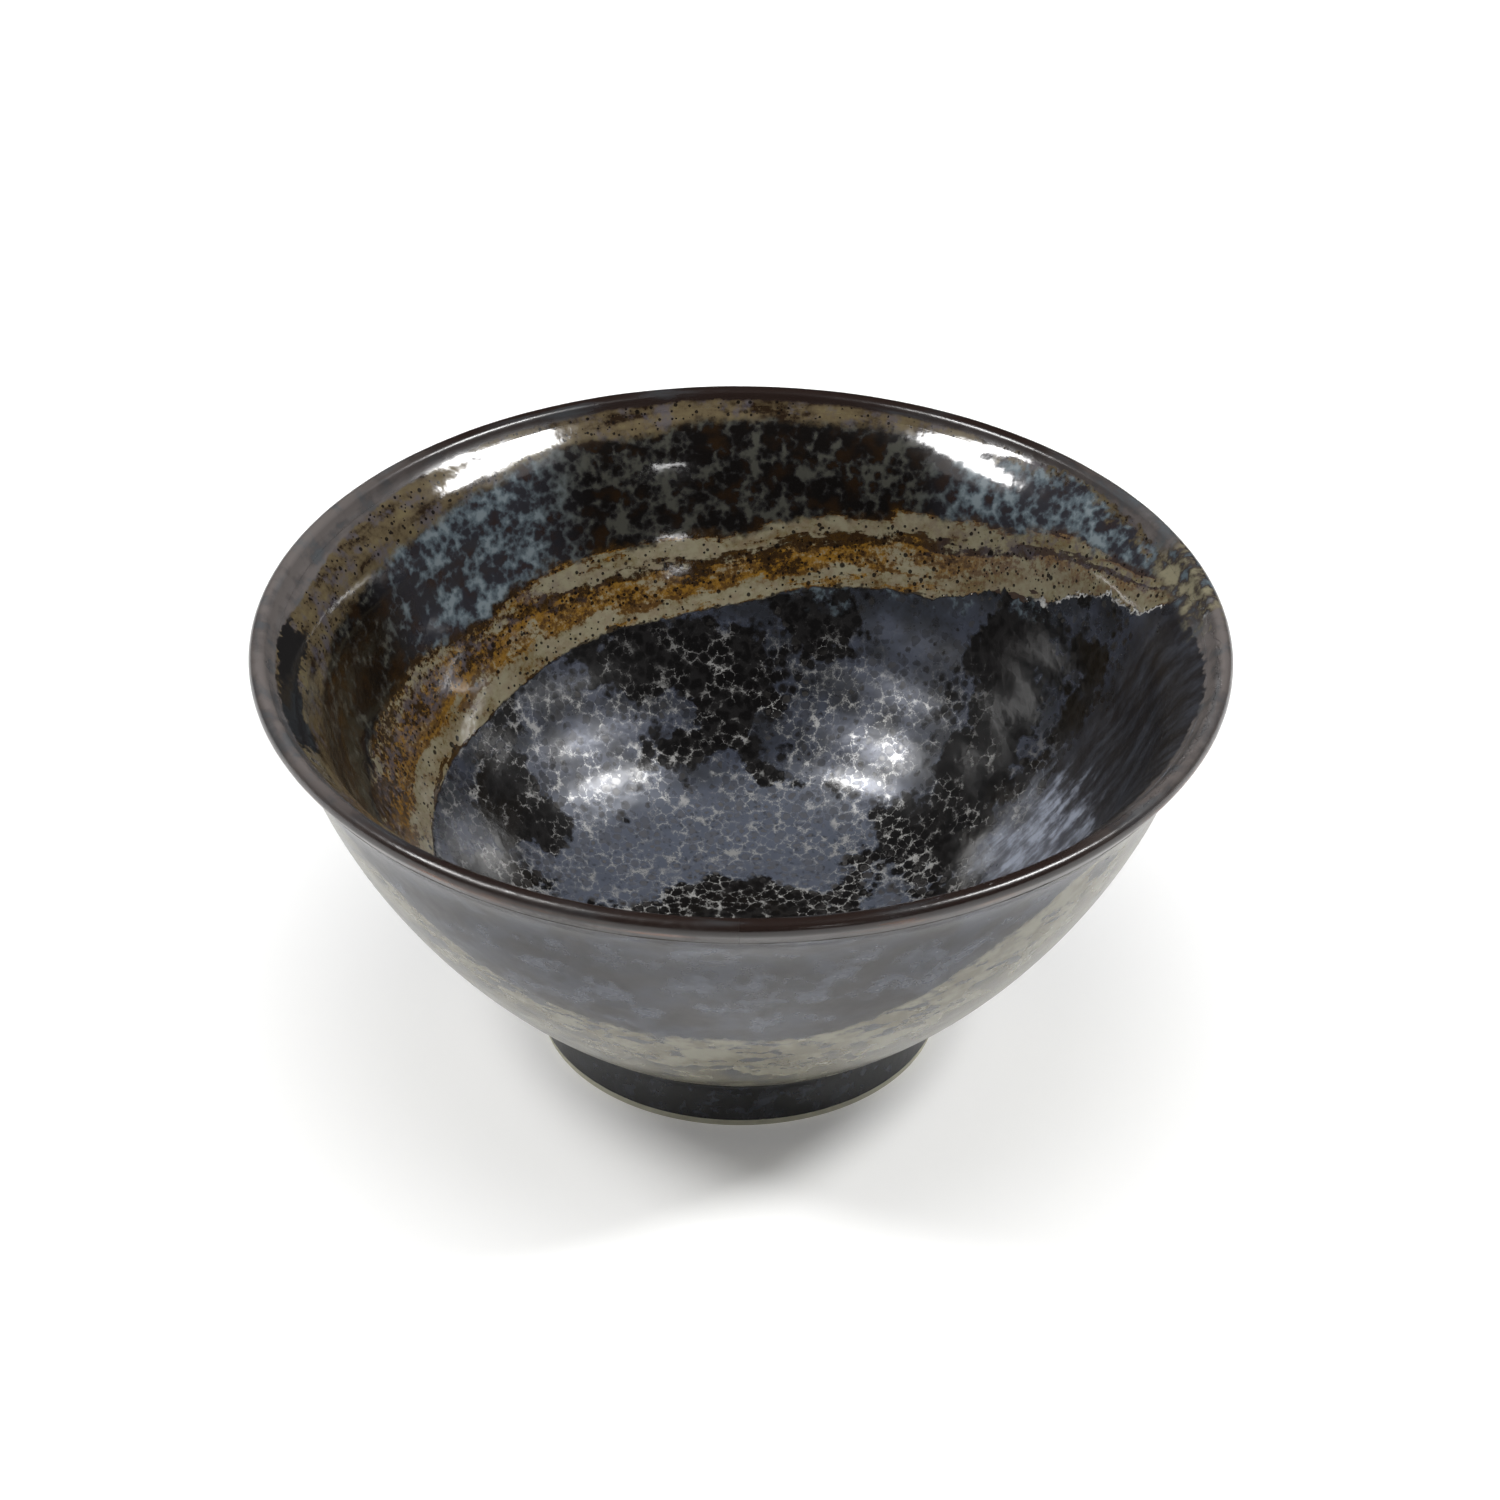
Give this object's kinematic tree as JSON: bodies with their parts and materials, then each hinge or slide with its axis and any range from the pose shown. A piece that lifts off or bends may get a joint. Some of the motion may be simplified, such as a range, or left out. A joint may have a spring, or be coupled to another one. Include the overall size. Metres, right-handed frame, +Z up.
{
  "type": "matcha bowl",
  "caption": "Footed stoneware tea bowl with a flared lip, a dark crystalline glaze and a brushed pale swirl, for whisking and drinking matcha.",
  "frame": {"origin": "centre of the foot's base, on the table", "axes": "+Z up along the bowl's axis, -Y towards the dark patch on the outside"},
  "size_m": [0.13, 0.13, 0.0616],
  "materials": {
    "stoneware": "matt, bare fired clay",
    "lip_glaze": "gloss, grey-brown breaking to rust",
    "swirl_glaze": "gloss, olive tan with iron specks",
    "blue_glaze": "gloss, blue-grey mottle over brown-black",
    "iron_glaze": "gloss, near black with silvery crystals",
    "slate_glaze": "gloss, slate grey",
    "pale_glaze": "gloss, pale tan with blue-grey flecks"
  },
  "bodies": {
    "root": {"clay_body": "stoneware", "foot_ring": "stoneware", "lip_glaze": "lip_glaze", "inner_rim_swirl": "swirl_glaze", "inner_upper_glaze": "blue_glaze", "inner_swirl": "swirl_glaze", "inner_floor_glaze": "iron_glaze", "outer_front_glaze": "slate_glaze", "outer_swirl": "pale_glaze", "outer_back_glaze": "slate_glaze", "foot_glaze": "iron_glaze", "foot_well_glaze": "iron_glaze"}
  },
  "joints": []
}
